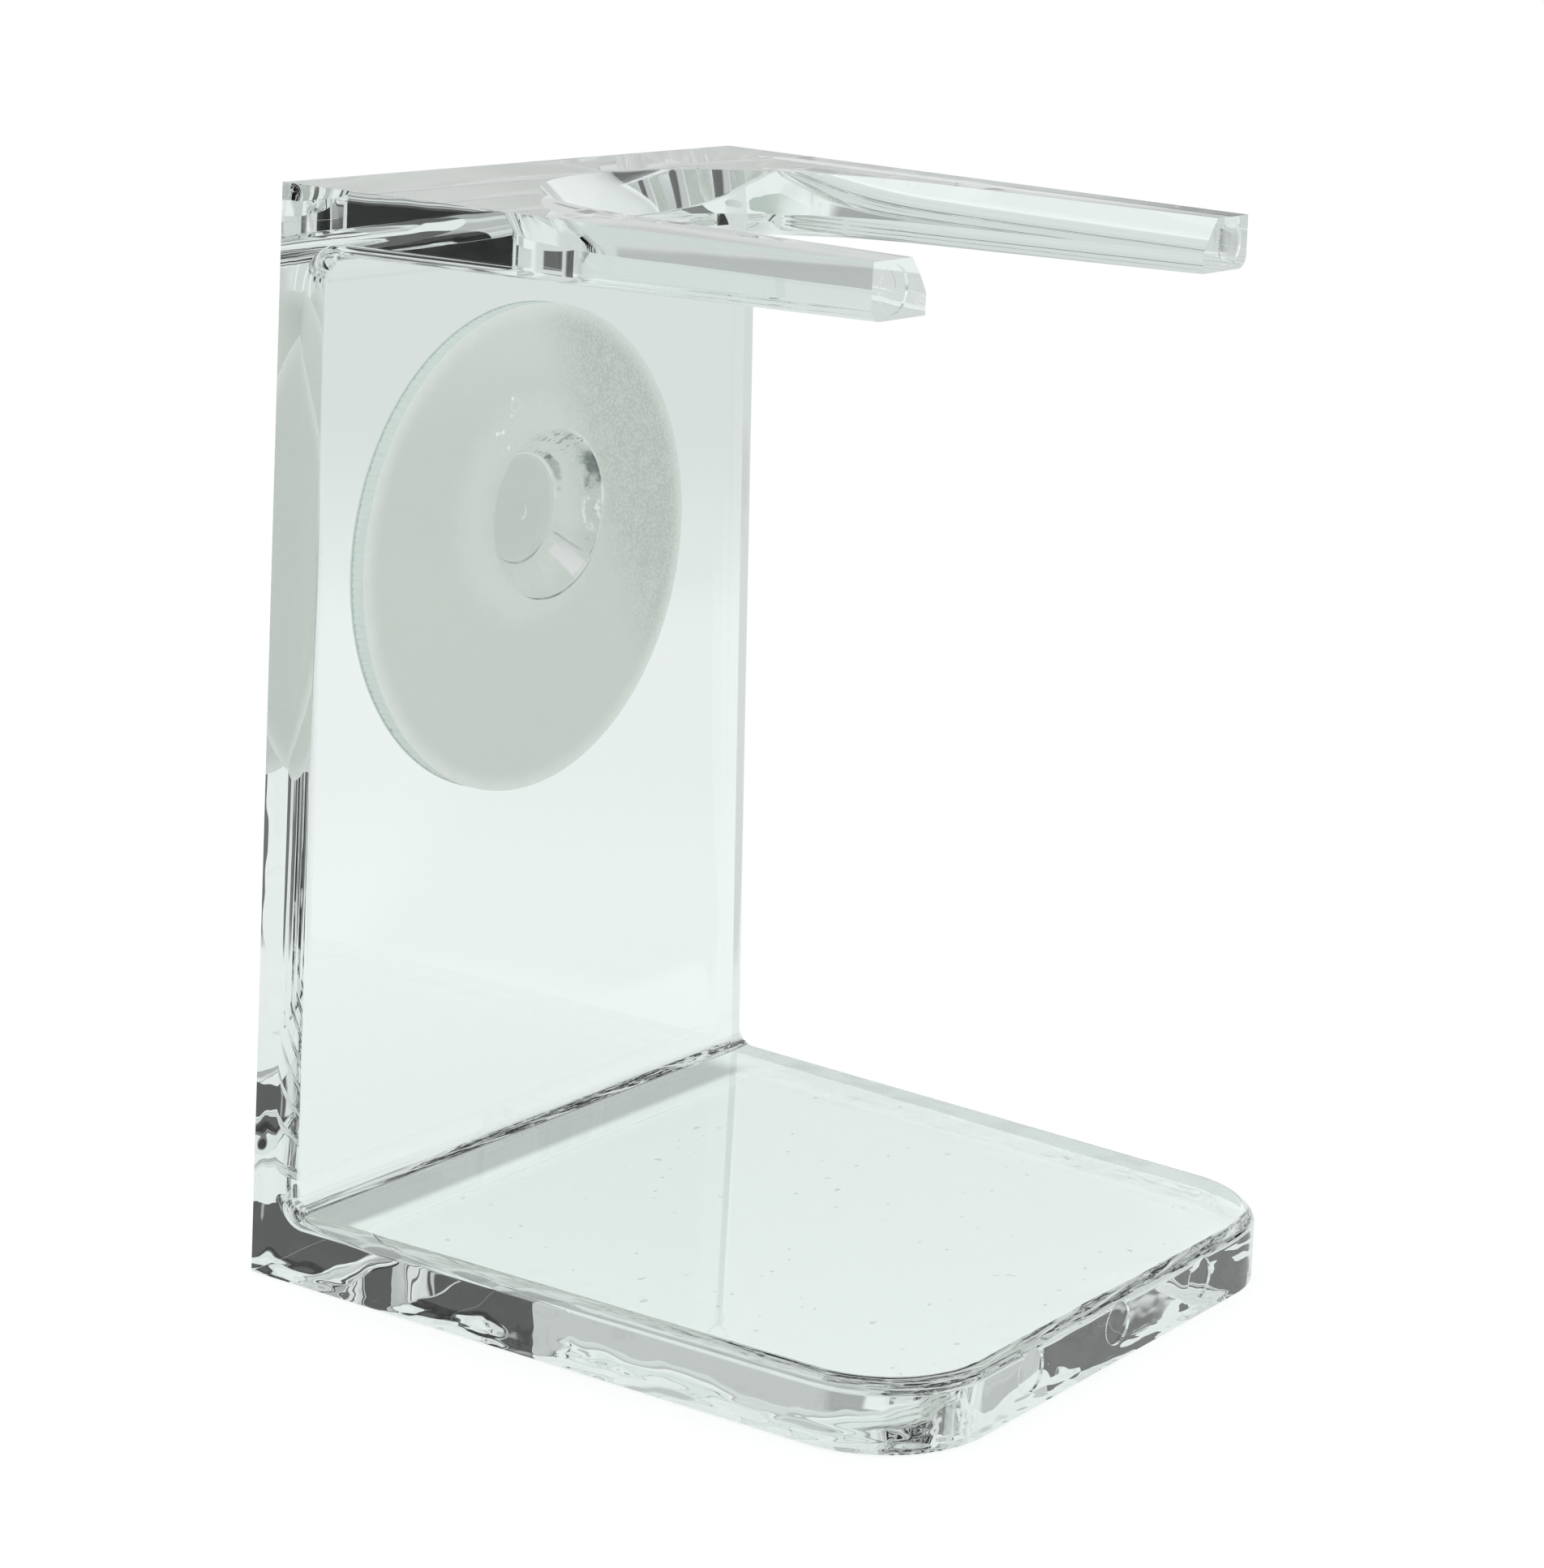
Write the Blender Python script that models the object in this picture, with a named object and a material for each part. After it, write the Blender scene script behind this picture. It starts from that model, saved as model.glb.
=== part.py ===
"""Clear moulded shaving brush holder with a round foam mounting pad on its back plate.

Metres, +Z up. The slot opens to the front, which faces -Y, and the back plate stands across Y at the rear.
The origin is under the middle of the whole object, on the surface that it stands on.
Inside the functions a profile point is (y, z), with y counted from the back plate's rear face.
"""

import math

import bmesh
import bpy

# Overall sizes of the moulding
height = 0.0800
half_width_bottom = 0.0283
half_width_top = 0.0258
side_draft = 0.0419  # loss of half-width for each metre towards the front
top_draft = 0.0160  # drop of the fork's top for each metre towards the front
underside_draft = 0.0030  # rise of the fork's underside for each metre towards the front

# Back plate, base and fork
plate_thickness = 0.0036
base_thickness = 0.0052
base_depth = 0.0576
base_corner_radius = 0.0086
fork_thickness = 0.0048
fork_reach = 0.0487
lower_fillet = 0.0012
upper_fillet = 0.0020

# Rounding of the edges that face the open space
plate_rounding = 0.0016
base_rounding = 0.0011
fork_rounding = 0.0010

# Slot for the brush: a round seat with straight sides that widen to the mouth
seat_radius = 0.0189
seat_centre_depth = 0.0261
slot_flare = math.radians(3.2)
rim_bevel_width = 0.0025
rim_bevel_bulge = 0.0002
slot_land_height = 0.0016
mouth_rounding = 0.0005
mouth_rounding_end = math.radians(262)  # just short of square, so that the cut leaves the tip's face cleanly

# Moulding marks: the well of the gate in the plate, and the ejector pins' discs
gate_well_height = 0.0539
gate_well_mouth_radius = 0.0065
gate_well_floor_radius = 0.0043
gate_well_floor_thickness = 0.0006
gate_nub_radius = 0.0006
gate_nub_height = 0.0003
gate_nub_taper = 0.6  # the nub's top radius as a share of its foot's
pin_mark_radius = 0.0016
pin_mark_depth = 0.0002
base_pin_spacing = 0.0115
base_pin_height = 0.0029

# Mounting pad: two adhesive films on a foam disc, and the liner still on
pad_radius = 0.01875
pad_height = 0.0509
film_thickness = 0.00010
foam_thickness = 0.00062
liner_thickness = 0.00010
seat_gap = 0.00030  # between the moulding and the pad
layer_gap = 0.00008  # between the pad's own layers

# Roundness of the solids
corner_steps = 8
fillet_steps = 4
rounding_steps = 3
seat_steps = 32
bevel_levels = 4
mouth_steps = 4
disc_steps = 96
well_steps = 48
pin_steps = 24
overcut = 0.0030  # how far a cutter runs past the face that it opens
crease_angle = math.radians(30)  # edges sharper than this stay sharp in the shading
tolerance = 0.000001

pad_depth = seat_gap + film_thickness * 2 + foam_thickness + liner_thickness + layer_gap * 3
rear_face_y = (base_depth - pad_depth) / 2  # where the plate's rear face lies, with the box centred


def clear_scene():
    for thing in list(bpy.data.objects):
        bpy.data.objects.remove(thing)


def material(name, colour, roughness, alpha=1.0, transmission=0.0, ior=1.49):
    """Principled material of one piece."""
    made = bpy.data.materials.new(name)
    made.use_nodes = True
    shader = made.node_tree.nodes["Principled BSDF"]
    shader.inputs["Base Color"].default_value = (*colour, 1.0)
    shader.inputs["Roughness"].default_value = roughness
    shader.inputs["Metallic"].default_value = 0.0
    shader.inputs["Alpha"].default_value = alpha
    shader.inputs["Transmission Weight"].default_value = transmission
    shader.inputs["IOR"].default_value = ior
    made.diffuse_color = (*colour, alpha)
    return made


def new_object(name, mesh, parent=None):
    made = bpy.data.objects.new(name, mesh)
    bpy.context.scene.collection.objects.link(made)
    made.parent = parent
    return made


def arc(centre, radius, start, end, steps):
    """Points on an arc from one angle to the other, both ends included."""
    angles = [start + (end - start) * i / steps for i in range(steps + 1)]
    return [(centre[0] + radius * math.cos(a), centre[1] + radius * math.sin(a)) for a in angles]


def half_width(y, z):
    """Half the moulding's width: its sides are flat, and lean in upwards and towards the front."""
    return half_width_bottom - (half_width_bottom - half_width_top) * z / height + side_draft * y


def top_z(y):
    return height + top_draft * y


def underside_z(y):
    return height - fork_thickness - underside_draft * y


def inner_profile():
    """The open space's outline: base top from the front, plate, then the fork's underside to its tips."""
    plate_y = -plate_thickness
    low = arc((plate_y - lower_fillet, base_thickness + lower_fillet), lower_fillet, -math.pi / 2, 0, fillet_steps)
    slope = math.atan(underside_draft)
    turn_y = plate_y - upper_fillet
    turn_z = underside_z(turn_y) - upper_fillet / math.cos(slope)
    high = arc((turn_y, turn_z), upper_fillet, 0, math.pi / 2 + slope, fillet_steps)
    tip = (-fork_reach, underside_z(-fork_reach))
    return [(-base_depth, base_thickness), *low, *high, tip]


def stand_body():
    """The C-shaped body: its side profile carried across the width between the two leaning sides."""
    outer = [(-fork_reach, top_z(-fork_reach)), (0.0, top_z(0.0)), (0.0, 0.0), (-base_depth, 0.0)]
    profile = inner_profile() + outer
    shape = bmesh.new()
    left = [shape.verts.new((-half_width(y, z), y, z)) for y, z in profile]
    right = [shape.verts.new((half_width(y, z), y, z)) for y, z in profile]
    shape.faces.new(left)
    shape.faces.new(right[::-1])
    for i in range(len(profile)):
        j = (i + 1) % len(profile)
        shape.faces.new((left[j], left[i], right[i], right[j]))
    bmesh.ops.recalc_face_normals(shape, faces=shape.faces)
    round_base_corners(shape)
    weigh_inner_edges(shape)
    mesh = bpy.data.meshes.new("stand")
    shape.to_mesh(mesh)
    shape.free()
    return mesh


def round_base_corners(shape):
    """The two upright corners at the front of the base."""
    def at_front(vert):
        return abs(vert.co.y + base_depth) < tolerance
    corners = [e for e in shape.edges if all(at_front(v) for v in e.verts)
               and abs(e.verts[0].co.z - e.verts[1].co.z) > base_thickness / 2]
    bmesh.ops.bevel(shape, geom=corners, offset=base_corner_radius, offset_type="OFFSET",
                    segments=corner_steps, profile=0.5, affect="EDGES", clamp_overlap=False)


def on_line(point, start, end):
    """Whether a (y, z) point lies on the line between two others."""
    along = (end[0] - start[0], end[1] - start[1])
    offset = (point[0] - start[0], point[1] - start[1])
    length = math.hypot(*along)
    across = abs(along[0] * offset[1] - along[1] * offset[0]) / length
    reach = (along[0] * offset[0] + along[1] * offset[1]) / length
    return across < tolerance and -tolerance < reach < length + tolerance


def rounding_at(z):
    """Radius of the rounding: the base's, the plate's or the fork's, blended along the inner fillets."""
    low = base_thickness, base_thickness + lower_fillet
    high = underside_z(-plate_thickness) - upper_fillet, underside_z(-plate_thickness)
    if z < high[0]:
        share = min(max((z - low[0]) / (low[1] - low[0]), 0.0), 1.0)
        return base_rounding + (plate_rounding - base_rounding) * share
    share = min(max((z - high[0]) / (high[1] - high[0]), 0.0), 1.0)
    return plate_rounding + (fork_rounding - plate_rounding) * share


def weigh_inner_edges(shape):
    """Marks the edges round the open space with their share of the largest rounding."""
    path = inner_profile()
    spans = list(zip(path[:-1], path[1:]))

    def inner(face):
        return any(all(on_line((v.co.y, v.co.z), *span) for v in face.verts) for span in spans)

    def at_tip(edge):
        return all(abs(v.co.y + fork_reach) < tolerance for v in edge.verts)
    weights = shape.edges.layers.float.new("bevel_weight_edge")
    largest = max(plate_rounding, base_rounding, fork_rounding)
    for edge in shape.edges:
        if sum(inner(face) for face in edge.link_faces) == 1 and not at_tip(edge):
            edge[weights] = rounding_at(sum(v.co.z for v in edge.verts) / 2) / largest


def slot_outline(offset):
    """The slot seen from above, moved in by an offset: round seat, straight flaring sides, rounded mouth."""
    radius = seat_radius - offset
    centre_y = -seat_centre_depth
    seat = arc((0.0, centre_y), radius, slot_flare, math.pi / 2, seat_steps // 2)
    along = (math.sin(slot_flare), -math.cos(slot_flare))
    across = (math.cos(slot_flare), math.sin(slot_flare))
    turn_y = -fork_reach + mouth_rounding
    run = (turn_y - mouth_rounding * across[1] - seat[0][1]) / along[1]
    last = (seat[0][0] + along[0] * run, seat[0][1] + along[1] * run)
    turn = (last[0] + across[0] * mouth_rounding, last[1] + across[1] * mouth_rounding)
    opening = arc(turn, mouth_rounding, math.pi + slot_flare, mouth_rounding_end, mouth_steps)
    beyond = (opening[-1][0] + overcut, opening[-1][1] - overcut)
    half = [(beyond[0], beyond[1] - overcut), beyond, *opening[::-1], *seat]
    return half + [(-x, y) for x, y in half[-2::-1]]


def slot_levels():
    """Heights and offsets of the slot's wall: upright land, bulging bevel, then on past the top."""
    land_top = height - fork_thickness + slot_land_height
    levels = [(land_top - slot_land_height - overcut, rim_bevel_width)]
    for i in range(bevel_levels + 1):
        share = i / bevel_levels
        bulge = rim_bevel_bulge * math.sin(math.pi * share)
        levels.append((land_top + (height - land_top) * share, rim_bevel_width * (1 - share) + bulge))
    slope = rim_bevel_width / (height - land_top)
    levels.append((height + overcut, -overcut * slope))
    return levels


def loft(name, outlines):
    """Closed solid through outlines that have the same number of points, bottom first."""
    shape = bmesh.new()
    rings = [[shape.verts.new(point) for point in outline] for outline in outlines]
    count = len(rings[0])
    for low, high in zip(rings[:-1], rings[1:]):
        for i in range(count):
            j = (i + 1) % count
            shape.faces.new((low[i], low[j], high[j], high[i]))
    shape.faces.new(rings[0][::-1])
    shape.faces.new(rings[-1])
    bmesh.ops.recalc_face_normals(shape, faces=shape.faces)
    mesh = bpy.data.meshes.new(name)
    shape.to_mesh(mesh)
    shape.free()
    return mesh


def turned(name, profile, steps, centre):
    """Closed solid turned about an axis along Y through the centre, from (y, radius) points."""
    rings = []
    for y, radius in profile:
        angles = [2 * math.pi * i / steps for i in range(steps)]
        ring = [(centre[0] + radius * math.cos(a), y, centre[1] + radius * math.sin(a)) for a in angles]
        rings.append(ring)
    return loft(name, rings)


def cut(target, mesh, parent):
    """Takes the mesh's shape out of the target with a Boolean."""
    cutter = new_object(mesh.name, mesh, parent)
    cutter.hide_render = True
    cutter.display_type = "WIRE"
    boolean = target.modifiers.new(mesh.name, "BOOLEAN")
    boolean.operation = "DIFFERENCE"
    boolean.solver = "EXACT"
    boolean.object = cutter


def gate_well():
    """Tapered well in the plate's front, with the gate's nub left standing on its floor."""
    floor_y = -gate_well_floor_thickness
    front_y = -plate_thickness
    widening = (gate_well_mouth_radius - gate_well_floor_radius) / (front_y - floor_y)
    outer_radius = gate_well_mouth_radius - widening * overcut
    profile = [
        (front_y - overcut, outer_radius),
        (floor_y, gate_well_floor_radius),
        (floor_y, gate_nub_radius),
        (floor_y - gate_nub_height, gate_nub_radius * gate_nub_taper),
    ]
    return turned("gate_well_cutter", profile, well_steps, (0.0, gate_well_height))


def pin_mark(name, x, front_y, z):
    """Shallow disc that an ejector pin leaves in a front face."""
    profile = [(front_y - overcut, pin_mark_radius), (front_y + pin_mark_depth, pin_mark_radius)]
    return turned(name, profile, pin_steps, (x, z))


def pin_marks():
    """Three marks across the base's front edge and one on the end of each prong."""
    marks = [pin_mark(f"base_pin_mark_{i}", base_pin_spacing * (i - 1), -base_depth, base_pin_height)
             for i in range(3)]
    y = -fork_reach
    z = (top_z(y) + underside_z(y)) / 2
    inside = seat_radius / math.cos(slot_flare) + (fork_reach - seat_centre_depth) * math.tan(slot_flare)
    x = (inside - rim_bevel_width / 2 + half_width(y, z)) / 2
    return marks + [pin_mark(f"prong_pin_mark_{side}", sign * x, y, z) for side, sign in (("left", -1), ("right", 1))]


def make_stand(parent):
    stand = new_object("stand", stand_body(), parent)
    stand.location.y = rear_face_y
    rounding = stand.modifiers.new("rounding", "BEVEL")
    rounding.limit_method = "WEIGHT"
    rounding.offset_type = "OFFSET"
    rounding.width = max(plate_rounding, base_rounding, fork_rounding)
    rounding.segments = rounding_steps
    rounding.use_clamp_overlap = False
    outlines = [[(x, y, z) for x, y in slot_outline(offset)] for z, offset in slot_levels()]
    for mesh in [loft("slot_cutter", outlines), gate_well(), *pin_marks()]:
        cut(stand, mesh, stand)
    stand.data.materials.append(material("clear_acrylic", (0.90, 0.94, 0.93), 0.03, 0.35, 1.0))
    stand.data.shade_smooth()
    stand.data.set_sharp_from_angle(angle=crease_angle)
    return stand


def make_layer(name, start, thickness, made_of, parent):
    """One round layer of the pad, from a distance behind the plate's rear face."""
    profile = [(0.0, pad_radius), (thickness, pad_radius)]
    layer = new_object(name, turned(name, profile, disc_steps, (0.0, 0.0)), parent)
    layer.location = (0.0, rear_face_y + start, pad_height)
    layer.data.materials.append(made_of)
    layer.data.shade_smooth()
    layer.data.set_sharp_from_angle(angle=crease_angle)


def make_pad(parent):
    """Front film, foam, rear film and liner, one behind the other."""
    film = material("adhesive_film", (0.80, 0.83, 0.82), 0.25)
    foam = material("foam", (0.77, 0.80, 0.79), 0.80)
    liner = material("liner_paper", (0.88, 0.89, 0.88), 0.45)
    layers = [
        ("front_adhesive", film_thickness, film),
        ("foam_pad", foam_thickness, foam),
        ("rear_adhesive", film_thickness, film),
        ("release_liner", liner_thickness, liner),
    ]
    start = seat_gap
    for name, thickness, made_of in layers:
        make_layer(name, start, thickness, made_of, parent)
        start += thickness + layer_gap


def main():
    clear_scene()
    holder = new_object("shaving_brush_holder", None)
    make_stand(holder)
    make_pad(holder)


main()
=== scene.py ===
"""Looks of a clear moulded shaving brush holder with a round foam mounting pad.

Metres, +Z up. The slot opens to the front, which faces -Y, and the back plate stands across Y at the rear.
Inside the functions a depth is counted towards the front from the back plate's rear face.
"""

import math
from collections import Counter

import bmesh
import bpy
import numpy as np
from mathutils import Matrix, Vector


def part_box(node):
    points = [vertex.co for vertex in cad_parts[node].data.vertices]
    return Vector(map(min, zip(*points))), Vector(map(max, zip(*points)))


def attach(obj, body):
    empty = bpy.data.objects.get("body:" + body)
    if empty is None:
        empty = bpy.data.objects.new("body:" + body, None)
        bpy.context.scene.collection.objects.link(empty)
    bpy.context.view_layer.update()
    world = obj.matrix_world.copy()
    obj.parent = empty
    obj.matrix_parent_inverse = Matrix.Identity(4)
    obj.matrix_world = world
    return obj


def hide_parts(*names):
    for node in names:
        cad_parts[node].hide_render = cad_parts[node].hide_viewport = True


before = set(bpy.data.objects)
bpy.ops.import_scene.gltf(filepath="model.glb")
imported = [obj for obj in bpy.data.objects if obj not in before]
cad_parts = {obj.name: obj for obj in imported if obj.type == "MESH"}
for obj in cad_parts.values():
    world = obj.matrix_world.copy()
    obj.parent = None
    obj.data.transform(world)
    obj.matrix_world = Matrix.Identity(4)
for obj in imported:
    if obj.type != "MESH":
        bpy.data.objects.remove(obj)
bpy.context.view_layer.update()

# Places and sizes read from the frame
stand_low, stand_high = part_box("stand")
pad_low, pad_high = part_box("foam_pad")
liner_low, liner_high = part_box("release_liner")
rear_y = stand_high.y
height = stand_high.z
half_width_bottom = stand_high.x
base_depth = stand_high.y - stand_low.y
pad_radius = (pad_high.x - pad_low.x) / 2
pad_height = (pad_high.z + pad_low.z) / 2
pad_back = liner_high.y - rear_y

# The moulding's own sizes
half_width_top = 0.0258
side_draft = 0.0419
top_draft = 0.0160
underside_draft = 0.0030
plate_thickness = 0.0036
base_thickness = 0.0052
base_corner_radius = 0.0086
fork_thickness = 0.0048
fork_reach = 0.0487
lower_fillet = 0.0012
upper_fillet = 0.0020
plate_rounding = 0.0016
base_rounding = 0.0011
fork_rounding = 0.0010
edge_break = 0.00022

# Slot
seat_radius = 0.0189
seat_centre_depth = 0.0261
slot_flare = math.radians(3.2)
rim_bevel_width = 0.0025
rim_bevel_bulge = 0.0002
slot_land_height = 0.0016
overcut = 0.0030

# Gate well and ejector pin marks
well_height = 0.0539
well_mouth_radius = 0.0065
well_floor_radius = 0.0043
well_floor_thickness = 0.0006
well_rim_rounding = 0.00030
well_foot_rounding = 0.00035
nub_radius = 0.0006
nub_tip_radius = 0.00036
nub_height = 0.0003
pin_mark_radius = 0.0016
pin_mark_depth = 0.0002
base_pin_spacing = 0.0115
base_pin_height = 0.0029

# Layers of the pad, from the plate's rear face backwards
wetting_depth = 0.00002
film_end = 0.00014
liner_thickness = 0.00010
rear_film_thickness = 0.00012

# Clear plastic. Its waves fade in towards the sides and the base's front edge, and are stronger low down and
# on the fork
acrylic_index = 1.49
acrylic_tint = (0.970, 1.0, 0.989)
straight_tint = (0.93, 0.95, 0.94)
wave_height = 0.00008
wave_scale = 120.0
wave_side_fade = (0.0008, 0.006)
wave_front_fade = (base_depth - 0.005, base_depth - 0.0008)
wave_plain, wave_low, wave_high = 0.35, 3.2, 0.5
wave_low_fade = (0.009, 0.016)
wave_high_fade = (0.068, 0.074)

# Dust on the base's top
dust = (0.62, 0.64, 0.62)
dust_layer = 0.0001
dust_start_fade = (0.008, 0.012)

# Darker patch, streaks and fine lines on the well's wall, and painted highlights on its wall and rims
# (metallic patches that mirror the room). Angles are from +X towards +Z in degrees, depths from the plate's
# rear face in millimetres. Three numbers are the lowest and the highest value and how wide their fade is, and
# two are where a fade starts and ends
# Colour of the darker patch, streaks and fine lines on the well's upper wall
dark_patch_colour = (0.11, 0.135, 0.135)
painted_highlight_roughness = 0.25
wall_depths = (0.75, 3.56, 0.1)
dark_patch_angles, dark_patch_fade = (17, 43, 12), (2.45, 3.1)
streak_angles = (50, 84, 10)
hair_angles, hair_depths = (5, 62, 10), (0.65, 1.25, 0.3)
slant = 3.0
# Painted highlights: the strip, line, specks and upper patch on the wall, and the lip, heel and curl on the
# rims
strip_angles, strip_depths = (-48, -33, 4), (1.2, 3.4, 0.4)
line_angles, line_depths = (-29.5, -27.5, 1), (0.9, 3.1, 0.3)
speck_angles, speck_depths = (-26, 2, 8), (2.3, 3.4, 0.4)
upper_angles, upper_depths = (50, 72, 8), (3.2, 3.56, 0.2)
lip_angles, lip_fade = (-110, 62, 30), (3.2, 3.4)
heel_fade = (0.8, 1.1)
curl_centre, curl_radii, curl_fade = (0.25, -0.35), (0.45, 0.62, 0.1), (1.2, 1.4)

# Pad. Places on it are (x, z) in millimetres
film_plain = (0.655, 0.690, 0.655)
# Lighter tone: the film's random grain, painted light at its top, and the lighter ring round the well
film_light = (0.76, 0.785, 0.76)
# Darker tone: the mottle of adhesive that is not wetted, and painted shade under the well
film_mottle_and_shade = (0.51, 0.55, 0.515)
# Colour of the painted rim light, also of the bubble's ring
film_rim = (0.84, 0.86, 0.835)
foam_plain = (0.76, 0.80, 0.775)
rear_film_plain = (0.55, 0.62, 0.62)
liner_plain = (0.80, 0.81, 0.80)
# The bubble's ring, and painted highlights: glints on and beside the bubble and a sparkle patch below it
bubble_place, bubble_radii = (-2.2, 62.2), (0.42, 0.60, 0.16)
bubble_glints = [((-2.55, 62.7), 0.17), ((-2.6, 61.4), 0.13), ((-4.25, 60.2), 0.20), ((-3.55, 60.25), 0.20),
                 ((-3.9, 60.22), 0.12), ((-2.9, 59.0), 0.16)]
sparkle_place, sparkle_size = (-3.0, 58.6), 1.6
halo_radii = (4.9, 8.5, 3.2)
painted_shade_under_well_fade = (3.6, 4.8)
film_top_fade = (59, 70)
mottle_fade = (6.0, 13.0)
serration = 0.00009
nick_angle = 220.0
nick_width = 0.5

# Studio. A panel is: azimuth of its middle and half its width in degrees, counted from +X towards +Y,
# how wide its side edges fade, its lowest and highest elevation, how wide those fade, and its brightness.
# A later panel covers an earlier one. A floor sector has the first three and its brightness
floor_radius = 0.30
floor_drop = 0.0002
floor_white = (0.80, 0.80, 0.80)
floor_fade = (0.70 * floor_radius, 0.98 * floor_radius)
floor_glow, floor_turned_glow = 0.24, 0.12
near_fade, far_fade = (0.05, 0.08), (0.10, 0.16)
sector_fade = (0.035, 0.05)
contact_shade, contact_inset = 0.45, 0.003
contact_band = (rear_y - 0.0052, rear_y + 0.0002, 0.0012)
light_bounces = 24
room_level = 0.70
room_tint = (0.950, 1.0, 0.985)
backdrop_dimming = 0.23
backdrop_fade = (-13.5, -9)
room_panels = [
    # Towards the right and the rear
    (45, 32, 12, -50, 26, 8, 0.90),
    (40, 30, 10, 2, 14, 5, 0.68),
    (38, 10, 5, 15, 26, 5, 0.54),
    (38, 30, 10, 28, 46, 6, 0.50),
    (38, 14, 8, -3, 5, 5, 0.50),
    (38, 10, 6, -18, -6, 4, 0.55),
    (53, 7, 4, 15, 25, 4, 0.36),
    # Towards the right and the front
    (-36, 26, 8, 24, 46, 6, 0.40),
    (-42, 19, 4, 12, 25, 3, 0.05),
    (-29, 1.5, 1, 14, 25, 2, 0.50),
    (-52, 2, 1, 12, 25, 2, 0.35),
    (-42, 19, 4, -6, 14, 2, 0.0),
    # Towards the right
    (13, 17, 4, 6, 13, 2, 0.10),
    # Towards the rear and the left
    (104, 13, 4, 5, 14, 3, 0.12),
    (136, 14, 5, -5, 26, 5, 0.10),
    # Towards the left and the front
    (-128, 24, 6, 25, 46, 5, 0.20),
    # Ceiling
    (0, 181, 1, 70, 91, 6, 0.84),
]
floor_sectors = [
    (-16, 17, 6, 0.12),
    (-46, 14, 6, 0.62),
    (120, 32, 10, 0.80),
    (137, 12, 5, 0.72),
]

# Roundness
corner_steps = 24
fillet_steps = 10
rounding_steps = 10
seat_steps = 96
bevel_levels = 12
rim_steps = 6
well_steps = 96
pin_mark_steps = 48
pad_steps = 1440
floor_steps = 96
edge_break_segments = 3
crease = math.radians(25)

# Units and tolerance, and plain colours
millimetres = 1000.0
degrees = 180 / math.pi
touching = 1e-6
black, white = (0.0, 0.0, 0.0), (1.0, 1.0, 1.0)


class Value:
    """A shader socket that takes part in Python arithmetic. Each operation adds its Math node."""

    def __init__(self, tree, socket):
        self.tree = tree
        self.socket = socket

    def _math(self, operation, *values):
        return self.tree.node("ShaderNodeMath", {"operation": operation}, dict(enumerate(values)))

    def __add__(self, other):
        return self._math("ADD", self, other)

    def __radd__(self, other):
        return self._math("ADD", other, self)

    def __sub__(self, other):
        return self._math("SUBTRACT", self, other)

    def __rsub__(self, other):
        return self._math("SUBTRACT", other, self)

    def __mul__(self, other):
        return self._math("MULTIPLY", self, other)

    def __rmul__(self, other):
        return self._math("MULTIPLY", other, self)

    def __truediv__(self, other):
        return self._math("DIVIDE", self, other)

    def __pow__(self, other):
        return self._math("POWER", self, other)

    def length(self, other):
        """Distance of the point (self, other) from zero."""
        return (self * self + other * other) ** 0.5

    def size(self):
        return self._math("ABSOLUTE", self)

    def angle(self, x):
        """Angle of the point (x, self) in degrees, from the first axis towards the second."""
        return self._math("ARCTAN2", self, x) * degrees

    def elevation(self):
        """Angle above the horizon, in degrees, of a direction that rises by self."""
        return self._math("ARCSINE", self) * degrees

    def clamp(self):
        return self._math("MINIMUM", self._math("MAXIMUM", self, 0.0), 1.0)

    def step(self, start, end):
        """0 below start, 1 above end, and smooth between."""
        settings = {"interpolation_type": "SMOOTHSTEP"}
        return self.tree.node("ShaderNodeMapRange", settings, {0: self, 1: start, 2: end})

    def band(self, low, high, fade):
        """1 from low to high, and 0 beyond them, with smooth ends as wide as fade."""
        return self.step(low - fade / 2, low + fade / 2) * (1.0 - self.step(high - fade / 2, high + fade / 2))


def colour(value):
    """A plain colour with its alpha, or a colour socket as it is."""
    return value if isinstance(value, Value) else (*value, 1.0)


class Tree:
    """A node tree that is filled in one method."""

    def __init__(self, owner):
        owner.use_nodes = True
        self.nodes = owner.node_tree.nodes
        self.links = owner.node_tree.links
        self.nodes.clear()

    def node(self, kind, settings=None, inputs=None, output=0):
        made = self.nodes.new(kind)
        for name, value in (settings or {}).items():
            setattr(made, name, value)
        for name, value in (inputs or {}).items():
            self.feed(made.inputs[name], value)
        return Value(self, made.outputs[output]) if len(made.outputs) else made

    def parts(self, output):
        """X, Y and Z of one of Texture Coordinate's outputs."""
        vector = self.node("ShaderNodeTexCoord", None, None, output)
        return [self.node("ShaderNodeSeparateXYZ", None, {0: vector}, axis) for axis in range(3)]

    def place(self, scale=1.0, centre=(0.0, 0.0, 0.0)):
        """The object's own X, Y and Z less the centre, each times scale."""
        return [(part - middle) * scale for part, middle in zip(self.parts("Object"), centre)]

    def light_path(self, name):
        return self.node("ShaderNodeLightPath", None, None, name)

    def noise(self, scale, detail=2.0, stretch=(1.0, 1.0, 1.0), centre=0.5):
        """Noise about zero; stretch scales each axis."""
        own = self.node("ShaderNodeTexCoord", None, None, "Object")
        mapped = self.node("ShaderNodeMapping", None, {"Vector": own, "Scale": stretch})
        inputs = {"Vector": mapped, "Scale": scale, "Detail": detail}
        return self.node("ShaderNodeTexNoise", None, inputs) - centre

    def blend(self, factor, first, second):
        """A colour between two."""
        inputs = {0: factor, 6: colour(first), 7: colour(second)}
        return self.node("ShaderNodeMix", {"data_type": "RGBA"}, inputs, 2)

    def feed(self, socket, value):
        if isinstance(value, Value):
            self.links.new(value.socket, socket)
        else:
            socket.default_value = value


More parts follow.
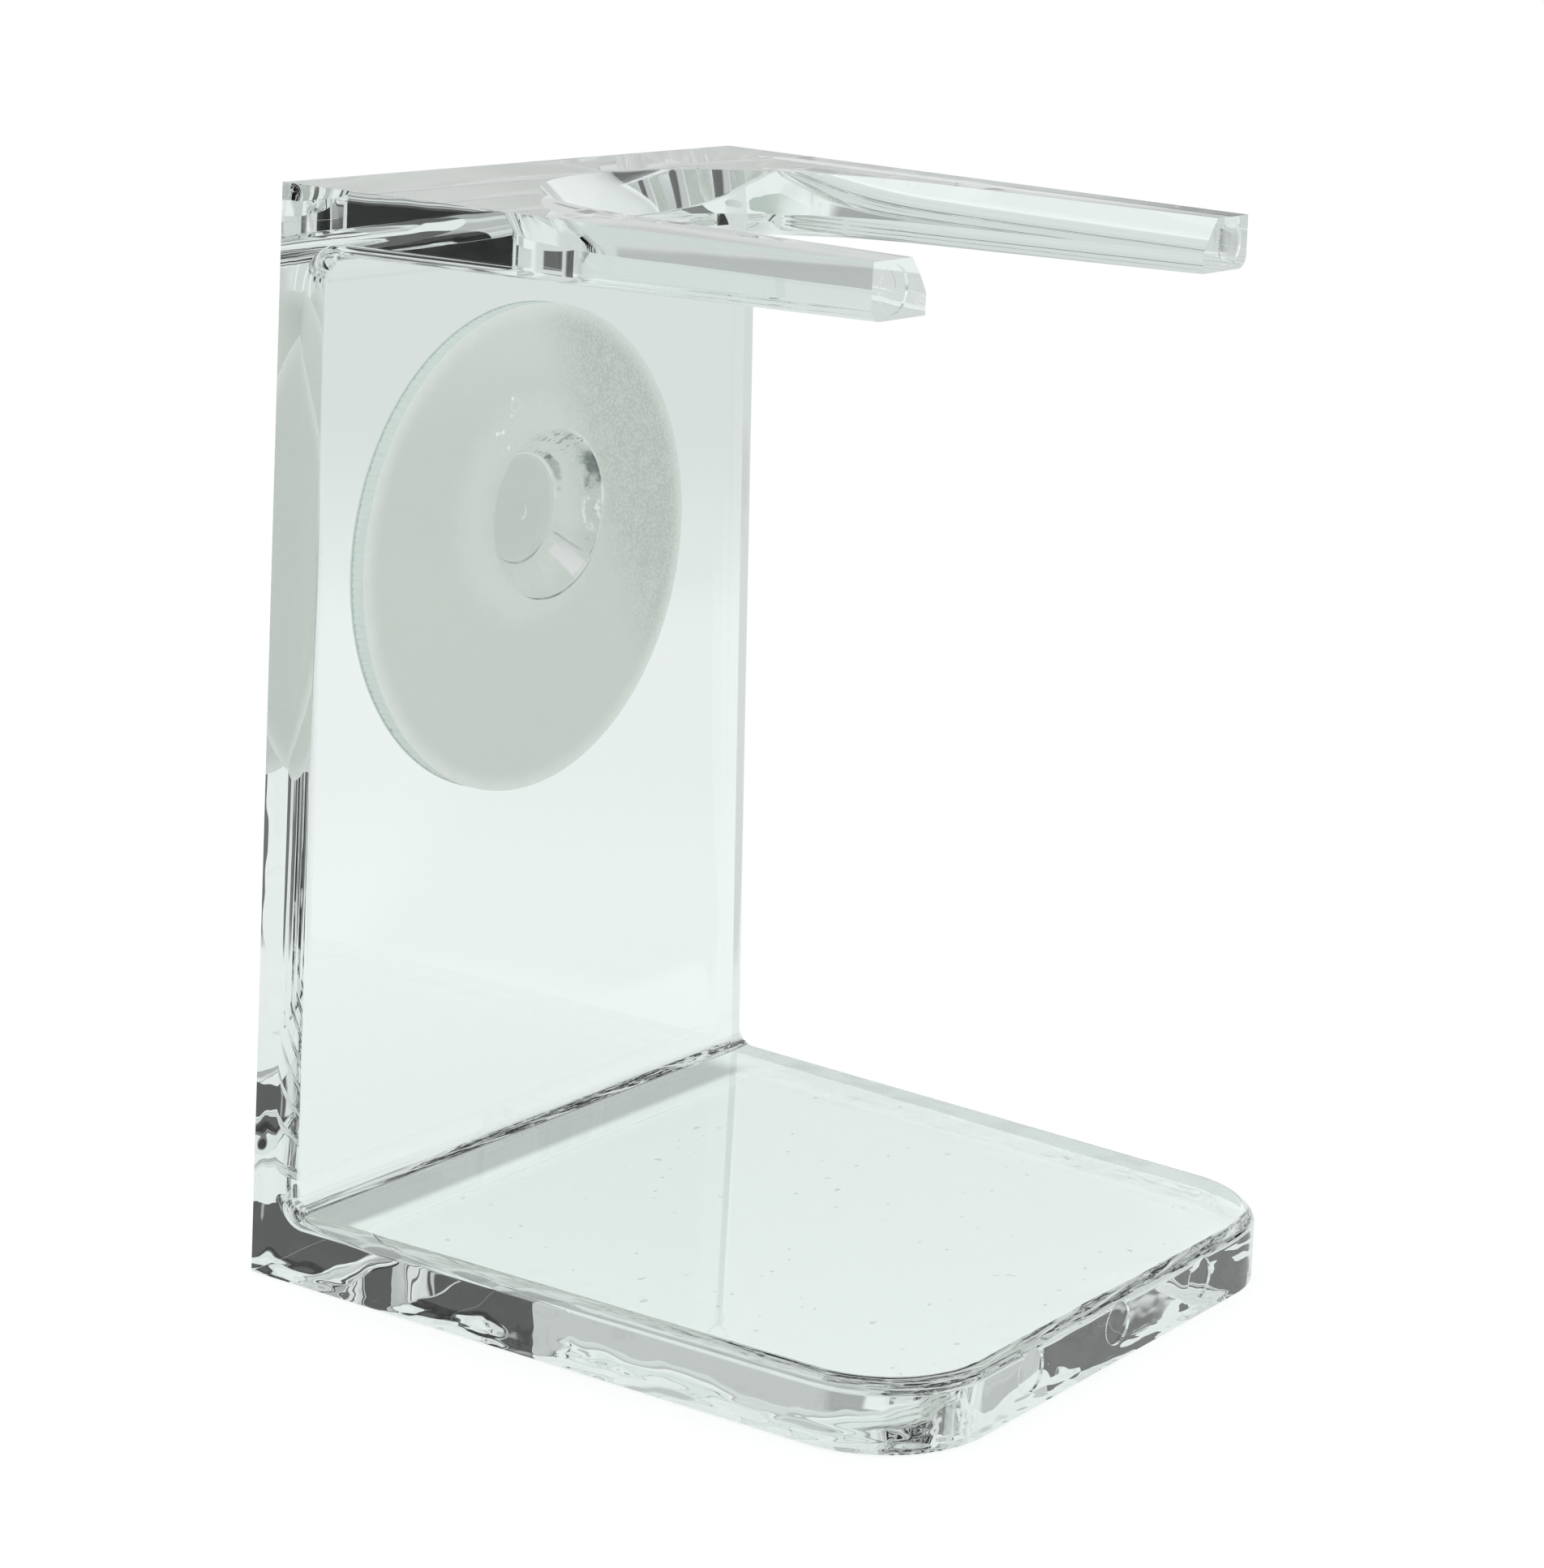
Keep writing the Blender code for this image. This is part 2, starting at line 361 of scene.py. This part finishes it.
def array_mesh(name, points, faces):
    """Mesh from an array of points and a list of faces."""
    mesh = bpy.data.meshes.new(name)
    mesh.from_pydata(points.tolist(), [], faces)
    mesh.update()
    return mesh


def new_object(name, mesh):
    made = bpy.data.objects.new(name, mesh)
    bpy.context.scene.collection.objects.link(made)
    return made


def baked(thing, name):
    """The mesh that an object's modifiers make, in a plain new object."""
    bpy.context.view_layer.update()
    seen = thing.evaluated_get(bpy.context.evaluated_depsgraph_get())
    mesh = bpy.data.meshes.new_from_object(seen)
    mesh.name = name
    return new_object(name, mesh)


def arc(centre, radius, start, end, steps):
    """Points on an arc: centre + radius * (cos, sin) of evenly spaced angles."""
    angles = np.linspace(start, end, steps + 1)
    return np.column_stack([centre[0] + radius * np.cos(angles), centre[1] + radius * np.sin(angles)])


def half_width(depth, z):
    """Half the moulding's width: its sides are flat, and lean in upwards and towards the front."""
    return half_width_bottom - (half_width_bottom - half_width_top) * z / height - side_draft * depth


def top_z(depth):
    return height - top_draft * depth


def underside_z(depth):
    return height - fork_thickness + underside_draft * depth


def inner_profile():
    """The open space's outline as (depth, z): base top from the front, plate, fork underside to its tips."""
    low_centre = (plate_thickness + lower_fillet, base_thickness + lower_fillet)
    low = arc(low_centre, lower_fillet, 1.5 * math.pi, math.pi, fillet_steps)
    slope = math.atan(underside_draft)
    turn = plate_thickness + upper_fillet
    high_centre = (turn, underside_z(turn) - upper_fillet / math.cos(slope))
    high = arc(high_centre, upper_fillet, math.pi, math.pi / 2 + slope, fillet_steps)
    ends = [(base_depth, base_thickness)], [(fork_reach, underside_z(fork_reach))]
    return np.vstack([ends[0], low, high, ends[1]])


def body_mesh():
    """The C-shaped body: its side profile carried across the width between the two leaning sides."""
    outer = [(fork_reach, top_z(fork_reach)), (0.0, height), (0.0, 0.0), (base_depth, 0.0)]
    profile = np.vstack([inner_profile(), outer])
    depth, z = profile.T
    wide = half_width(depth, z)
    points = np.vstack([np.column_stack([side * wide, rear_y - depth, z]) for side in (-1, 1)])
    count = len(profile)
    ring = np.arange(count)
    following = (ring + 1) % count
    strips = np.column_stack([following, ring, ring + count, following + count])
    mesh = array_mesh("body", points, [ring.tolist(), (ring[::-1] + count).tolist(), *strips.tolist()])
    shape = bmesh.new()
    shape.from_mesh(mesh)
    bmesh.ops.recalc_face_normals(shape, faces=shape.faces)
    front = rear_y - base_depth
    corners = [e for e in shape.edges if all(abs(v.co.y - front) < touching for v in e.verts)
               and abs(e.verts[0].co.z - e.verts[1].co.z) > base_thickness / 2]
    bmesh.ops.bevel(shape, geom=corners, offset=base_corner_radius, offset_type="OFFSET",
                    segments=corner_steps, profile=0.5, affect="EDGES", clamp_overlap=False)
    shape.to_mesh(mesh)
    shape.free()
    return mesh


def distance_to_profile(depth, z):
    """Least distance of each (depth, z) point to the open space's outline."""
    path = inner_profile()
    start, along = path[:-1], np.diff(path, axis=0)
    offset = np.stack([depth, z], -1)[:, None] - start
    share = np.clip((offset * along).sum(-1) / (along ** 2).sum(-1), 0, 1)
    return np.linalg.norm(offset - share[..., None] * along, axis=-1).min(1)


def rounding_at(z):
    """Radius of the rounding: the base's, the plate's or the fork's, blended along the inner fillets."""
    joint = underside_z(plate_thickness)
    heights = [base_thickness, base_thickness + lower_fillet, joint - upper_fillet, joint]
    return np.interp(z, heights, [base_rounding, plate_rounding, plate_rounding, fork_rounding])


def mark_inner_edges(mesh):
    """Weights the edges round the open space, along its sides and the base's front, for the rounding."""
    points = np.array([v.co for v in mesh.vertices])
    edges = np.array([e.vertices for e in mesh.edges])
    depth, z = rear_y - points[:, 1], points[:, 2]
    inside = distance_to_profile(depth, z) < touching
    at_tip = np.abs(depth - fork_reach) < touching
    both = inside[edges].all(1) & ~at_tip[edges].all(1)
    walls = [face for face in mesh.polygons if inside[list(face.vertices)].all()]
    uses = Counter(pair for face in walls for pair in face.edge_keys)
    rim = np.array([uses[tuple(sorted(pair))] == 1 for pair in edges.tolist()])
    middle = points[edges].mean(1)[:, 2]
    largest = max(plate_rounding, base_rounding, fork_rounding)
    weights = np.where(both & rim, rounding_at(middle) / largest, 0.0)
    mesh.attributes.new("bevel_weight_edge", "FLOAT", "EDGE").data.foreach_set("value", weights)
    return largest


def slot_outline(offset):
    """The slot from above, moved in by an offset: round seat, then straight flaring sides to the mouth."""
    radius = seat_radius - offset
    seat = arc((0.0, -seat_centre_depth), radius, slot_flare, math.pi / 2, seat_steps // 2)
    along = np.array([math.sin(slot_flare), -math.cos(slot_flare)])
    run = (fork_reach + overcut + seat[0, 1]) / math.cos(slot_flare)
    half = np.vstack([seat[0] + along * run, seat])
    return np.vstack([half, half[-2::-1] * (-1, 1)])


def slot_levels():
    """Heights and offsets of the slot's wall: upright land, bulging bevel, then on past the top."""
    land_top = height - fork_thickness + slot_land_height
    share = np.linspace(0, 1, bevel_levels + 1)
    z = land_top + (height - land_top) * share
    offset = rim_bevel_width * (1 - share) + rim_bevel_bulge * np.sin(math.pi * share)
    slope = rim_bevel_width / (height - land_top)
    z = np.concatenate([[land_top - slot_land_height - overcut], z, [height + overcut]])
    return z, np.concatenate([[rim_bevel_width], offset, [-overcut * slope]])


def lofted(name, rings):
    """Closed solid through rings with the same number of points, from the bottom up."""
    levels, count = rings.shape[:2]
    ring = np.arange(count)
    following = (ring + 1) % count
    sides = [np.column_stack([ring, following, following + count, ring + count]) + i * count
             for i in range(levels - 1)]
    ends = [ring[::-1].tolist(), (ring + (levels - 1) * count).tolist()]
    mesh = array_mesh(name, rings.reshape(-1, 3), np.vstack(sides).tolist() + ends)
    shape = bmesh.new()
    shape.from_mesh(mesh)
    bmesh.ops.recalc_face_normals(shape, faces=shape.faces)
    shape.to_mesh(mesh)
    shape.free()
    return mesh


def turned(name, profile, steps, centre):
    """Closed solid turned about an axis along Y through (x, z), from (depth, radius) points."""
    angles = np.linspace(0, 2 * math.pi, steps, endpoint=False)
    rings = [np.column_stack([centre[0] + radius * np.cos(angles), np.full(steps, rear_y - depth),
                              centre[1] + radius * np.sin(angles)]) for depth, radius in profile]
    return lofted(name, np.array(rings))


def slot_cutter():
    rings = []
    for z, offset in zip(*slot_levels()):
        outline = slot_outline(offset) + (0, rear_y)
        rings.append(np.column_stack([outline, np.full(len(outline), z)]))
    return lofted("slot_cutter", np.array(rings))


def well_cutter():
    """Tapered well in the plate's front, with rounded rims and the gate's nub left standing on its floor."""
    slope = math.atan((well_mouth_radius - well_floor_radius) / (plate_thickness - well_floor_thickness))
    swing = math.pi / 2 - slope
    mouth_centre = (plate_thickness - well_rim_rounding,
                    well_mouth_radius + well_rim_rounding * math.tan(swing / 2))
    mouth = arc(mouth_centre, well_rim_rounding, 0.0, -swing, rim_steps)
    floor_centre = (well_floor_thickness + well_foot_rounding,
                    well_floor_radius - well_foot_rounding * math.tan(swing / 2))
    foot = arc(floor_centre, well_foot_rounding, math.pi - swing, math.pi, rim_steps)
    nub = [(well_floor_thickness, nub_radius), (well_floor_thickness + nub_height, nub_tip_radius)]
    profile = np.vstack([(plate_thickness + overcut, mouth[0, 1]), mouth, foot, nub])
    return turned("well_cutter", profile, well_steps, (0.0, well_height))


def pin_cutter(name, x, depth, z):
    profile = [(depth + overcut, pin_mark_radius), (depth - pin_mark_depth, pin_mark_radius)]
    return turned(name, profile, pin_mark_steps, (x, z))


def pin_cutters():
    """Three marks across the base's front edge and one on the end of each prong."""
    places = [base_pin_spacing * i for i in (-1, 0, 1)]
    made = [pin_cutter(f"base_pin_{i}", x, base_depth, base_pin_height) for i, x in enumerate(places)]
    z = (top_z(fork_reach) + underside_z(fork_reach)) / 2
    inside = seat_radius / math.cos(slot_flare) + (fork_reach - seat_centre_depth) * math.tan(slot_flare)
    x = (inside - rim_bevel_width / 2 + half_width(fork_reach, z)) / 2
    return made + [pin_cutter(f"prong_pin_{i}", side * x, fork_reach, z) for i, side in enumerate((-1, 1))]


def make_stand():
    """The clear moulding: body, roundings, cuts, then a fine break on every edge that is still sharp."""
    mesh = body_mesh()
    largest = mark_inner_edges(mesh)
    rough = new_object("stand_rough", mesh)
    rounding = rough.modifiers.new("rounding", "BEVEL")
    rounding.limit_method = "WEIGHT"
    rounding.offset_type = "OFFSET"
    rounding.width = largest
    rounding.segments = rounding_steps
    rounding.use_clamp_overlap = False
    cutters = [new_object(m.name, m) for m in (slot_cutter(), well_cutter(), *pin_cutters())]
    for cutter in cutters:
        cut = rough.modifiers.new(cutter.name, "BOOLEAN")
        cut.operation = "DIFFERENCE"
        cut.solver = "EXACT"
        cut.object = cutter
    stand = baked(rough, "clear_stand")
    softened = stand.modifiers.new("edge_break", "BEVEL")
    softened.limit_method = "ANGLE"
    softened.angle_limit = crease
    softened.width = edge_break
    softened.segments = edge_break_segments
    for spare in (rough, *cutters):
        bpy.data.objects.remove(spare)
    stand.data.shade_smooth()
    stand.data.set_sharp_from_angle(angle=crease)
    weighted = stand.modifiers.new("face_weighted_normals", "WEIGHTED_NORMAL")
    weighted.keep_sharp = True
    weighted.weight = 100
    stand.data.materials.append(clear_acrylic())
    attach(stand, "root")
    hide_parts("stand")


def clear_acrylic():
    """Clear polished plastic with a faint green cast and slightly wavy faces. Shadows pass it straight."""
    made = bpy.data.materials.new("clear_acrylic")
    tree = Tree(made)
    x, y, z = tree.place()
    depth = rear_y - y
    inward = half_width(depth, z) - x.size()
    edges = 1.0 - inward.step(*wave_side_fade) * (1.0 - depth.step(*wave_front_fade))
    strength = wave_plain + (1.0 - z.step(*wave_low_fade)) * wave_low + z.step(*wave_high_fade) * wave_high
    height_field = tree.noise(wave_scale) * edges * strength
    dark, painted_highlight = well_patches_and_highlights(tree)
    dusty = tree.blend(dust_mask(tree, depth, z), acrylic_tint, dust)
    glass = tree.node("ShaderNodeBsdfPrincipled", None, {
        "Base Color": tree.blend(dark, dusty, dark_patch_colour),
        # Painted highlights on the well's wall and rims: metallic patches that mirror the room
        "Metallic": painted_highlight,
        "Roughness": painted_highlight * painted_highlight_roughness,
        "IOR": acrylic_index,
        "Transmission Weight": 1.0,
        "Normal": tree.node("ShaderNodeBump", None, {"Distance": wave_height, "Height": height_field}),
    })
    straight = tree.node("ShaderNodeBsdfTransparent", None, {"Color": colour(straight_tint)})
    diffuse_ray, shadow_ray = tree.light_path("Is Diffuse Ray"), tree.light_path("Is Shadow Ray")
    soft = tree.node("ShaderNodeMixShader", None, {0: diffuse_ray, 1: glass, 2: straight})
    whole = tree.node("ShaderNodeMixShader", None, {0: shadow_ray, 1: soft, 2: straight})
    tree.node("ShaderNodeOutputMaterial", None, {"Surface": whole})
    return made


def dust_mask(tree, depth, z):
    """A few specks of dust and short hairs on the base's top."""
    top = z.band(base_thickness - dust_layer, base_thickness + dust_layer, dust_layer)
    specks = tree.noise(1100.0, 1.0).step(0.245, 0.27)
    hairs = tree.noise(700.0, 2.0, (1.0, 0.2, 1.0)).step(0.27, 0.29) * 0.4
    return (specks + hairs).clamp() * top * depth.step(*dust_start_fade)


def well_patches_and_highlights(tree):
    """Masks of the darker patch, streaks and fine lines, and of the painted highlights on the well's wall and
    rims, by angle and depth in the wall.
    """
    x, y, z = tree.place(millimetres, (0.0, rear_y, well_height))
    depth = y * -1.0
    radius, angle = x.length(z), z.angle(x)
    mouth, foot = well_mouth_radius * millimetres, well_floor_radius * millimetres
    ragged, coarse = tree.noise(1500.0, 4.0), tree.noise(600.0, 3.0)
    wall = radius.band(foot, mouth + 0.1, 0.1) * depth.band(*wall_depths)
    dark_patch = (angle + ragged * 30.0).band(*dark_patch_angles) * (depth + ragged * 1.6).step(*dark_patch_fade)
    streaks = angle.band(*streak_angles) * tree.noise(2200.0, 2.0, (1.0, 0.25, 1.0)).step(0.03, 0.12) * 0.75
    hairs = angle.band(*hair_angles) * (depth + ragged).band(*hair_depths) * coarse.step(-0.04, 0.08) * 0.6
    # The strip, line, specks and upper patch are painted highlights on the well's wall
    leaning = angle + depth * slant
    strip = leaning.band(*strip_angles) * (depth + ragged).band(*strip_depths) * 0.9
    line = leaning.band(*line_angles) * depth.band(*line_depths) * 0.8
    specks = angle.band(*speck_angles) * (depth + coarse).band(*speck_depths) * ragged.step(0.07, 0.11)
    upper = angle.band(*upper_angles) * depth.band(*upper_depths) * ragged.step(0.0, 0.1) * 0.5
    lip = radius.band(mouth - 0.10, mouth + 0.12, 0.06) * depth.step(*lip_fade) * angle.band(*lip_angles)
    heel = radius.band(foot - 0.14, foot + 0.06, 0.08) * (1.0 - depth.step(*heel_fade))
    curl = (x - curl_centre[0]).length(z - curl_centre[1]).band(*curl_radii) * (1.0 - depth.step(*curl_fade))
    dark = ((dark_patch + streaks + hairs) * wall).clamp()
    # Painted highlights along the well's mouth, along its floor's edge and round the nub
    edges = lip * (0.45 + coarse * 1.5) + heel * (0.25 + coarse * 1.2) + curl * x.step(0.1, 0.4) * 0.8
    return dark, ((strip + line + specks + upper) * wall + edges).clamp()


def spot(x, z, place, size):
    """1 in a small round spot at a place, 0 away from it."""
    return 1.0 - (x - place[0]).length(z - place[1]).step(size * 0.5, size * 1.1)


def film_colour(tree):
    """The front film as it shows through the plate: painted light along its rim and at its top, a lighter
    ring round the well, mottle at the upper right where the adhesive is not wetted, painted shade under the
    well, and an air bubble with painted glints.
    """
    x, _, z = tree.place(millimetres)
    rim = pad_radius * millimetres
    above = z - pad_height * millimetres
    fine, middling, grain = tree.noise(2600.0, 3.0), tree.noise(900.0, 4.0), tree.noise(4200.0)
    # Painted light: the film lighter along its rim
    painted_rim_light = (x.length(above) + middling * 0.7).step(rim - 1.6, rim + 0.3)
    upper_right = (x * 0.9 + above * 0.4).step(*mottle_fade)
    mottle = (upper_right * (middling * 1.4 + grain * 4.5 + 0.65)).clamp() * 0.85
    # Painted light: the film lighter towards its top
    top = z.step(*film_top_fade) * (1.0 - upper_right) * 0.7
    from_well = x.length(z - well_height * millimetres)
    halo = (from_well + middling * 2.0).band(*halo_radii) * (1.0 - upper_right * 0.8) * 0.55
    # Painted shade: the film darker under the well
    painted_shade_under_well = (1.0 - from_well.step(*painted_shade_under_well_fade)) * 0.5
    ring = (x - bubble_place[0]).length(z - bubble_place[1]).band(*bubble_radii) * 0.35
    # Painted highlights: white glints and sparkles on and beside the bubble
    sparkle = tree.noise(1700.0).step(0.17, 0.22) * spot(x, z, sparkle_place, sparkle_size)
    for place, size in bubble_glints:
        sparkle = sparkle + spot(x, z, place, size)
    tone = tree.blend((halo + top + fine * 0.35 + grain * 0.25).clamp(), film_plain, film_light)
    tone = tree.blend(mottle + painted_shade_under_well * 0.5, tone, film_mottle_and_shade)
    tone = tree.blend((painted_rim_light * 0.8 + ring).clamp(), tone, film_rim)
    return tree.blend(sparkle.clamp(), tone, white)


def foam_colour(tree):
    return toned(tree, foam_plain, 0.12, 1800.0)


def rear_film_colour(tree):
    return toned(tree, rear_film_plain, 0.10, 900.0)


def liner_colour(tree):
    return toned(tree, liner_plain, 0.06, 700.0)


def toned(tree, base, amount, scale):
    """A plain colour with a slight grain."""
    darker = tuple(part * (1 - amount) for part in base)
    return tree.blend(tree.noise(scale, 3.0, centre=0.0), darker, base)


def make_pad():
    """Front film, foam, rear film and liner, one behind the other and bonded to the plate's rear face."""
    liner_start = pad_back - liner_thickness
    foam_end = liner_start - rear_film_thickness
    layers = [
        ("front_film", "front_adhesive", "adhesive_film", -wetting_depth, film_end, film_colour, 0.0),
        ("foam_disc", "foam_pad", "foam", film_end, foam_end, foam_colour, serration),
        ("rear_film", "rear_adhesive", "adhesive_film", foam_end, liner_start, rear_film_colour, 0.0),
        ("liner_disc", "release_liner", "liner_paper", liner_start, pad_back, liner_colour, 0.0),
    ]
    for name, node, slot, start, end, painter, ragged in layers:
        layer = new_object(name, disc(name, start, end, ragged))
        layer.data.shade_smooth()
        layer.data.set_sharp_from_angle(angle=crease)
        layer.data.materials.append(painted(name, painter))
        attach(layer, "root")
        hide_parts(node)
        node == "foam_pad"


def disc(name, start, end, ragged):
    """Flat disc between two depths. Its cut edge is ragged: three waves of unlike lengths, and one nick."""
    angles = np.linspace(0, 2 * math.pi, pad_steps, endpoint=False)
    wave = np.sin(211 * angles) + 0.7 * np.sin(337 * angles + 1.1) + 0.5 * np.sin(89 * angles + 2.3) - 2.2
    nick = np.exp(-((np.degrees(angles) - nick_angle) / nick_width) ** 2) * 6.0
    radius = pad_radius + ragged * (wave - nick) / 4.4
    x, z = radius * np.cos(angles), pad_height + radius * np.sin(angles)
    rings = [np.column_stack([x, np.full(pad_steps, rear_y + depth), z]) for depth in (start, end)]
    return lofted(name, np.array(rings))


def painted(name, painter):
    made = bpy.data.materials.new(name)
    tree = Tree(made)
    shader = tree.node("ShaderNodeBsdfPrincipled", None, {"Base Color": painter(tree), "Roughness": 0.5})
    tree.node("ShaderNodeOutputMaterial", None, {"Surface": shader})
    return made


def make_floor():
    """Plain white floor that keeps the soft shadow, and fades into the white surroundings at its rim."""
    rim = arc((0.0, 0.0), floor_radius, 0.0, 2 * math.pi, floor_steps)[:-1]
    points = np.column_stack([rim, np.full(floor_steps, -floor_drop)])
    floor = new_object("floor", array_mesh("floor", points, [list(range(floor_steps))]))
    made = bpy.data.materials.new("white_floor")
    tree = Tree(made)
    x, y, _ = tree.place()
    distance = x.length(y)
    shade = floor_shade(tree, x, y, distance)
    diffuse = tree.node("ShaderNodeBsdfDiffuse", None, {"Color": tree.blend(shade, black, floor_white)})
    glow = tree.node("ShaderNodeEmission", None, {
        "Color": tree.blend(floor_light(tree, x, y, distance) * shade, black, white)})
    both = tree.node("ShaderNodeAddShader", None, {0: diffuse, 1: glow})
    clear = tree.node("ShaderNodeBsdfTransparent")
    whole = tree.node("ShaderNodeMixShader", None, {0: distance.step(*floor_fade), 1: both, 2: clear})
    tree.node("ShaderNodeOutputMaterial", None, {"Surface": whole})
    floor.data.materials.append(made)


def floor_shade(tree, x, y, distance):
    """The floor's brightness: a soft dark band under the plate, darker sectors for light turned inside."""
    width = half_width_bottom - contact_inset
    shade = 1.0 - x.band(-width, width, contact_inset) * y.band(*contact_band) * contact_shade
    turned_light = tree.light_path("Glossy Depth").clamp() * through(tree) * distance.step(*sector_fade)
    for centre, half, fade, level in floor_sectors:
        sector = y.angle(x).band(centre - half, centre + half, fade)
        shade = shade * (1.0 - sector * turned_light * (1.0 - level))
    return shade


def floor_light(tree, x, y, distance):
    """Light that the floor adds to what it reflects, so that it looks white. It is dimmer through plastic."""
    under_base = x.band(-half_width_bottom, half_width_bottom, 0.002) * y.band(
        rear_y - base_depth, rear_y - 0.002, 0.003)
    dimmer = 0.07 - distance.step(*near_fade) * 0.01 + distance.step(*far_fade) * 0.035 - under_base * 0.13
    sight = straight_sight(tree)
    return sight * (floor_glow - through(tree) * dimmer) + (1.0 - sight) * floor_turned_glow


def through(tree):
    """1 for what is seen through clear plastic, and 0 for the rest."""
    return tree.light_path("Transmission Depth").clamp()


def straight_sight(tree):
    """1 for what is seen with no reflection on the way, also through clear plastic, and 0 for the rest."""
    return (1.0 - (tree.light_path("Glossy Depth") + tree.light_path("Diffuse Depth"))).clamp()


def make_light():
    """White studio. Light that was turned inside the plastic or on its skin shows a room with dark sides."""
    world = bpy.data.worlds.new("studio")
    bpy.context.scene.world = world
    tree = Tree(world)
    x, y, z = tree.parts("Generated")
    azimuth, elevation = y.angle(x), z.elevation()
    room = room_level
    for centre, half, side_fade, low, high, edge_fade, level in room_panels:
        mask = azimuth.band(centre - half, centre + half, side_fade) * elevation.band(low, high, edge_fade)
        room = room + (level - room) * mask
    sight, diffuse = straight_sight(tree), tree.light_path("Is Diffuse Ray")
    dimmed = through(tree) * (0.02 + elevation.step(*backdrop_fade) * backdrop_dimming)
    plain = (sight + diffuse).clamp()
    strength = plain * (1.0 - sight * dimmed) + (1.0 - plain) * room
    untinted = (1.0 - tree.light_path("Transmission Depth") + diffuse).clamp()
    background = tree.node("ShaderNodeBackground", None, {
        "Color": tree.blend(untinted, room_tint, white), "Strength": strength})
    tree.node("ShaderNodeOutputWorld", None, {"Surface": background})


def make_camera():
    """Camera of the photograph, fitted to the holder's outlines. yaw turns from +Y towards +X."""
    yaw, pitch, roll = 0.9475, 0.2511, 0.0401
    focal_length, sensor = 89.01, 36.0
    place = (-0.22487, rear_y - 0.18701, 0.10773)
    level = math.cos(pitch)
    forward = np.array([math.sin(yaw) * level, math.cos(yaw) * level, -math.sin(pitch)])
    right = np.array([math.cos(yaw), -math.sin(yaw), 0.0])
    up = np.cross(right, forward)
    across = right * math.cos(roll) + up * math.sin(roll)
    upward = up * math.cos(roll) - right * math.sin(roll)
    pose = np.eye(4)
    pose[:3, 0], pose[:3, 1], pose[:3, 2], pose[:3, 3] = across, upward, -forward, place
    lens = bpy.data.cameras.new("camera")
    lens.lens = focal_length
    lens.sensor_width = sensor
    lens.clip_start = 0.01
    camera = new_object("camera", lens)
    camera.matrix_world = pose.T.tolist()
    bpy.context.scene.camera = camera


def main():
    scene = bpy.context.scene
    scene.view_settings.view_transform = "Standard"
    scene.cycles.max_bounces = light_bounces
    scene.cycles.glossy_bounces = light_bounces
    scene.cycles.transmission_bounces = light_bounces
    make_camera()
    make_stand()
    make_pad()
    make_floor()
    make_light()


main()
